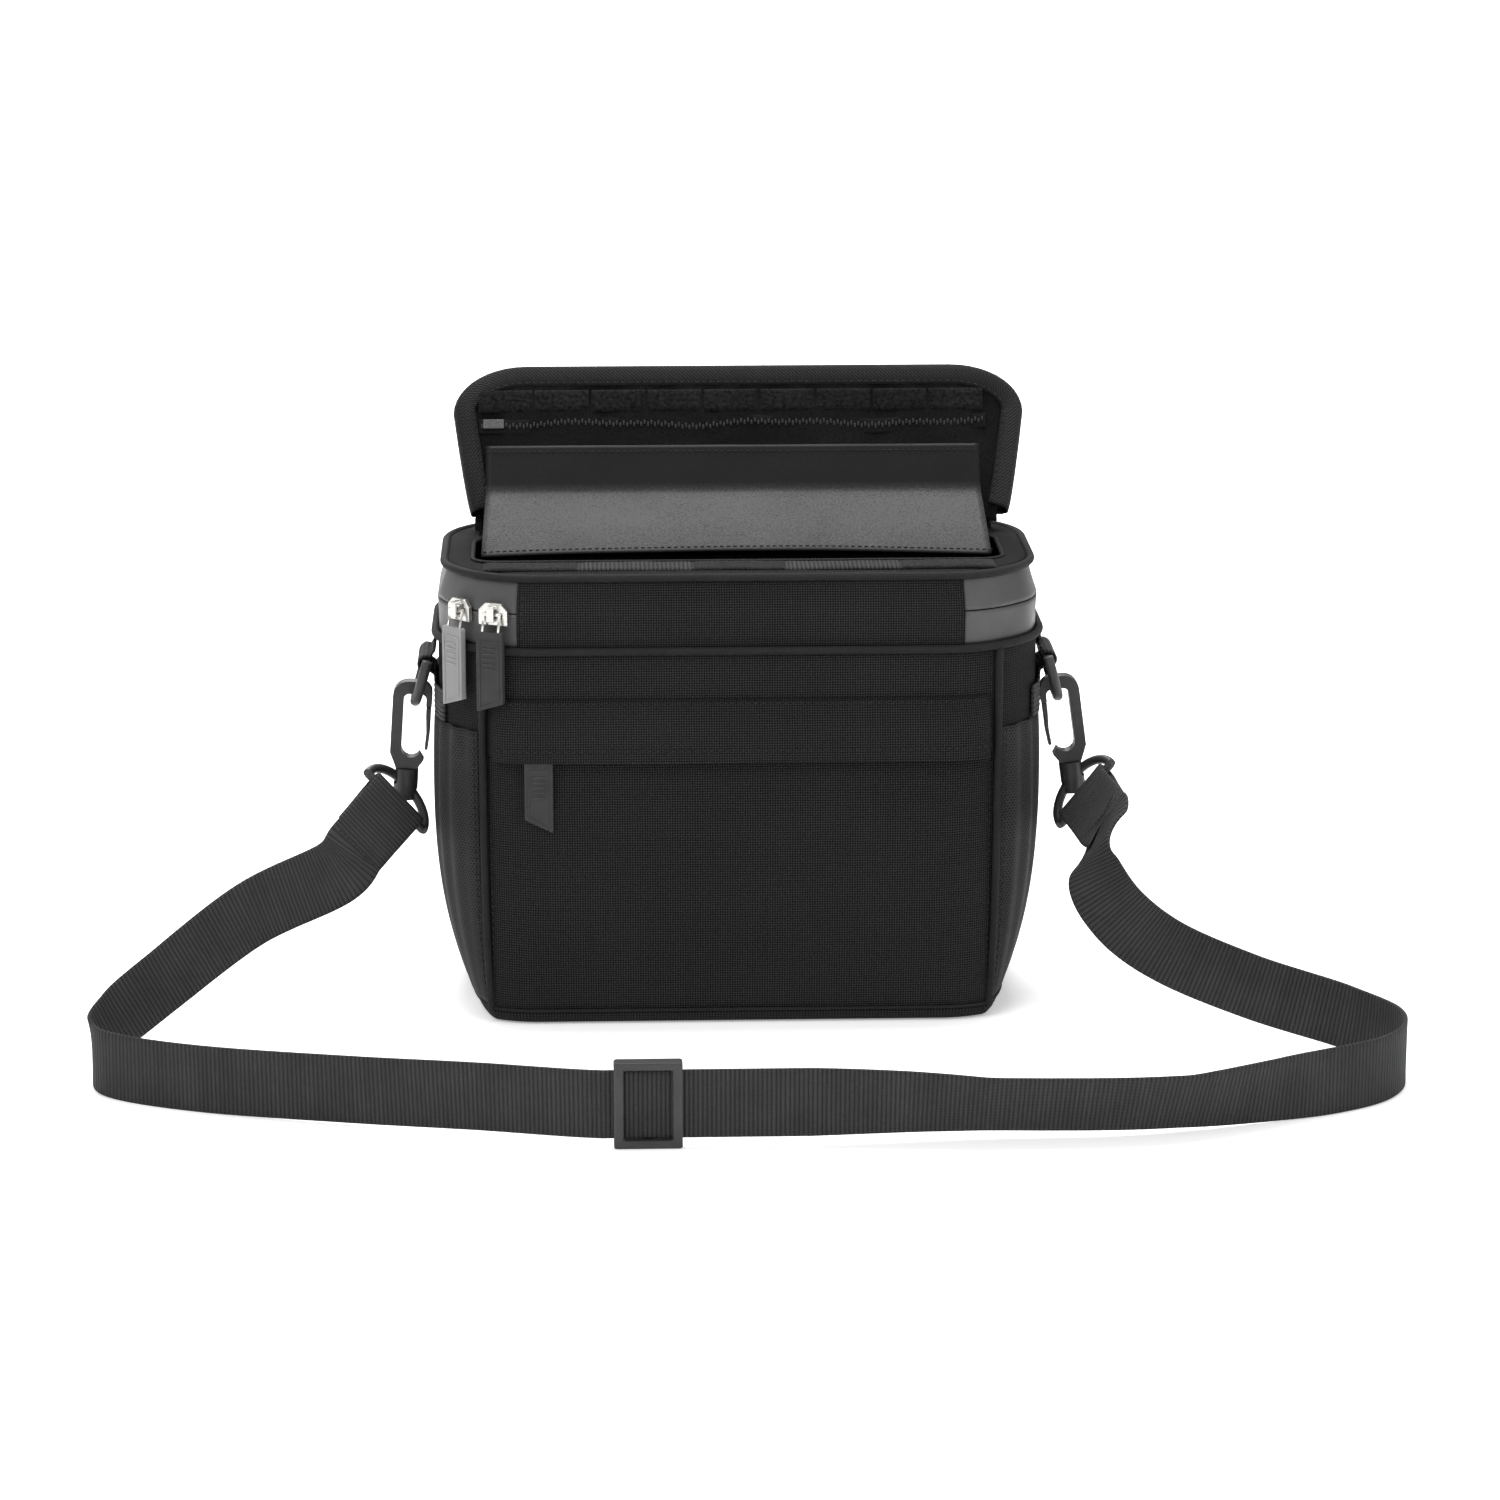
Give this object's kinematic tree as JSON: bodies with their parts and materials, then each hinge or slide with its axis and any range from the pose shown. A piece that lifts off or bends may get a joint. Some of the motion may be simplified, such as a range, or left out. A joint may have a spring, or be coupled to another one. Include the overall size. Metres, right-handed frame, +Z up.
{
  "type": "camera bag",
  "caption": "Padded black shoulder camera bag with a zipped lid, open quick-access top flap, front zip pocket and clip-on shoulder strap lying in front.",
  "frame": {"origin": "on the floor under the middle of the bag body", "axes": "+X towards the viewer's right across the bag's width, +Y from the front pocket to the back, +Z up"},
  "size_m": [0.537, 0.286, 0.263],
  "materials": {
    "body_fabric": "black ballistic weave",
    "board": "matte",
    "foam": "closed-cell foam, standing in as fabric",
    "lining": "brushed lining",
    "velour": "short black velour",
    "mesh": "stretch mesh",
    "webbing": "ribbed webbing",
    "zip_tape": "smooth coated tape",
    "moulding": "satin moulded plastic",
    "nickel": "satin nickel",
    "rubber_tab": "soft grey rubber",
    "loop_tape": "hook and loop tape",
    "pocket_nylon": "thin coated nylon"
  },
  "bodies": {
    "bag": {"front_panel": "body_fabric", "back_panel": "body_fabric", "side_panel_left": "body_fabric", "side_panel_right": "body_fabric", "base_panel": "body_fabric", "base_board": "board", "foam_front": "foam", "foam_back": "foam", "foam_sides": "foam", "foam_base": "foam", "lining": "lining", "front_pocket": "body_fabric", "pocket_zip": "zip_tape", "front_piping": "body_fabric", "lower_rim_piping": "body_fabric", "lower_zip_tape": "zip_tape", "side_pocket_left": "mesh", "side_pocket_right": "mesh", "pocket_elastic_left": "webbing", "pocket_elastic_right": "webbing", "strap_tab_left": "webbing", "strap_tab_right": "webbing"},
    "lid": {"lid_band": "body_fabric", "upper_zip_tape": "zip_tape", "lid_top": "body_fabric", "upper_rim_piping": "body_fabric", "loop_patches": "loop_tape", "rim_webbing": "webbing"},
    "flap": {"flap_shell": "body_fabric", "flap_foam": "foam", "flap_lining": "velour", "flap_binding": "webbing", "flap_hook_strip": "loop_tape", "flap_zip": "zip_tape", "flap_pocket_panel": "pocket_nylon"},
    "flap_slider": {"flap_zip_slider": "nickel"},
    "skirt": {"flap_pocket_skirt": "pocket_nylon"},
    "storm": {"storm_flap": "body_fabric"},
    "pocket_runner": {"pocket_slider": "nickel"},
    "pocket_tab": {"pocket_pull": "rubber_tab"},
    "side_runner": {"zip_slider_side": "nickel"},
    "front_runner": {"zip_slider_front": "nickel"},
    "side_wire": {"wire_loop_side": "nickel"},
    "front_wire": {"wire_loop_front": "nickel"},
    "side_tab": {"pull_side": "rubber_tab"},
    "front_tab": {"pull_front": "rubber_tab"},
    "d_left": {"d_ring_left": "moulding"},
    "d_right": {"d_ring_right": "moulding"},
    "strap": {"strap_webbing": "webbing", "strap_ring_left": "moulding", "strap_ring_right": "moulding", "swivel_boss_left": "moulding", "swivel_boss_right": "moulding"},
    "adjuster": {"strap_adjuster": "moulding"},
    "hook_l": {"snap_hook_left": "moulding"},
    "hook_r": {"snap_hook_right": "moulding"},
    "gate_l": {"hook_gate_left": "moulding"},
    "gate_r": {"hook_gate_right": "moulding"},
    "pad_left": {"divider_left": "lining"},
    "pad_right": {"divider_right": "lining"}
  },
  "joints": [
    {"name": "lid_hinge", "type": "hinge", "parent": "bag", "child": "lid", "pos_m": [0, -0.068, 0.166], "axis": [1, 0, 0], "range_deg": [0, 100]},
    {"name": "flap_hinge", "type": "hinge", "parent": "lid", "child": "flap", "pos_m": [0, 0.022, 0.198], "axis": [1, 0, 0], "range_deg": [-26, 117]},
    {"name": "flap_zip_travel", "type": "slide", "parent": "flap", "child": "flap_slider", "axis": [1, 0, 0], "range_m": [0, 0.2]},
    {"name": "skirt_droop", "type": "hinge", "parent": "flap", "child": "skirt", "pos_m": [0, 0.02748, 0.21227], "axis": [1, 0, 0], "range_deg": [-54, 12]},
    {"name": "storm_flap_lift", "type": "hinge", "parent": "bag", "child": "storm", "pos_m": [0, -0.0653, 0.1422], "axis": [-1, 0, 0], "range_deg": [0, 110]},
    {"name": "pocket_zip_travel", "type": "slide", "parent": "bag", "child": "pocket_runner", "axis": [1, 0, 0], "range_m": [0, 0.17]},
    {"name": "pocket_pull_swing", "type": "hinge", "parent": "pocket_runner", "child": "pocket_tab", "pos_m": [-0.086, -0.0652, 0.1151], "axis": [-1, 0, 0], "range_deg": [0, 85]},
    {"name": "side_slider_travel", "type": "hinge", "parent": "lid", "child": "side_runner", "pos_m": [-0.085, -0.0195, 0.1786], "axis": [0, 0, -1], "range_deg": [0, 18]},
    {"name": "front_slider_travel", "type": "hinge", "parent": "lid", "child": "front_runner", "pos_m": [-0.085, -0.0195, 0.1786], "axis": [0, 0, 1], "range_deg": [-3, 5]},
    {"name": "side_wire_hang", "type": "hinge", "parent": "side_runner", "child": "side_wire", "pos_m": [-0.11835, -0.0506, 0.1786], "axis": [0.682, -0.7314, 0], "range_deg": [-100, 0]},
    {"name": "front_wire_hang", "type": "hinge", "parent": "front_runner", "child": "front_wire", "pos_m": [-0.10355, -0.06116, 0.1786], "axis": [0.9135, -0.4067, 0], "range_deg": [-100, 0]},
    {"name": "side_pull_swing", "type": "hinge", "parent": "side_wire", "child": "side_tab", "pos_m": [-0.11967, -0.05183, 0.17081], "axis": [-0.682, 0.7314, 0], "range_deg": [0, 80]},
    {"name": "front_pull_swing", "type": "hinge", "parent": "front_wire", "child": "front_tab", "pos_m": [-0.10428, -0.0628, 0.17081], "axis": [-0.9135, 0.4067, 0], "range_deg": [0, 80]},
    {"name": "d_ring_tilt_left", "type": "hinge", "parent": "bag", "child": "d_left", "pos_m": [-0.1322, -0.01, 0.14875], "axis": [0, 1, 0], "range_deg": [-2, 2]},
    {"name": "d_ring_tilt_right", "type": "hinge", "parent": "bag", "child": "d_right", "pos_m": [0.1322, -0.01, 0.14875], "axis": [0, -1, 0], "range_deg": [-2, 2]},
    {"name": "strap_swing", "type": "hinge", "parent": "bag", "child": "strap", "pos_m": [0, -0.01, 0.14707], "axis": [-1, 0, 0], "range_deg": [0, 50]},
    {"name": "adjuster_travel", "type": "slide", "parent": "strap", "child": "adjuster", "axis": [1, 0, 0], "range_m": [0, 0.085]},
    {"name": "hook_swivel_left", "type": "hinge", "parent": "strap", "child": "hook_l", "pos_m": [-0.1421, -0.01, 0.09725], "axis": [0.0698, 0, 0.9976], "range_deg": [-5, 5]},
    {"name": "hook_swivel_right", "type": "hinge", "parent": "strap", "child": "hook_r", "pos_m": [0.14437, -0.01, 0.09764], "axis": [-0.1392, 0, 0.9903], "range_deg": [-5, 5]},
    {"name": "gate_press_left", "type": "hinge", "parent": "hook_l", "child": "gate_l", "pos_m": [-0.13351, -0.01, 0.10827], "axis": [0, -1, 0], "range_deg": [0, 15]},
    {"name": "gate_press_right", "type": "hinge", "parent": "hook_r", "child": "gate_r", "pos_m": [0.13503, -0.01, 0.10804], "axis": [0, 1, 0], "range_deg": [0, 15]},
    {"name": "divider_travel_left", "type": "slide", "parent": "bag", "child": "pad_left", "axis": [1, 0, 0], "range_m": [-0.03, 0.03]},
    {"name": "divider_travel_right", "type": "slide", "parent": "bag", "child": "pad_right", "axis": [1, 0, 0], "range_m": [-0.03, 0.03]}
  ],
  "couplings": [
    {"joint": "skirt_droop", "follows": "flap_hinge", "ratio": -0.4609},
    {"joint": "side_wire_hang", "follows": "lid_hinge", "ratio": -1},
    {"joint": "front_wire_hang", "follows": "lid_hinge", "ratio": -1}
  ]
}
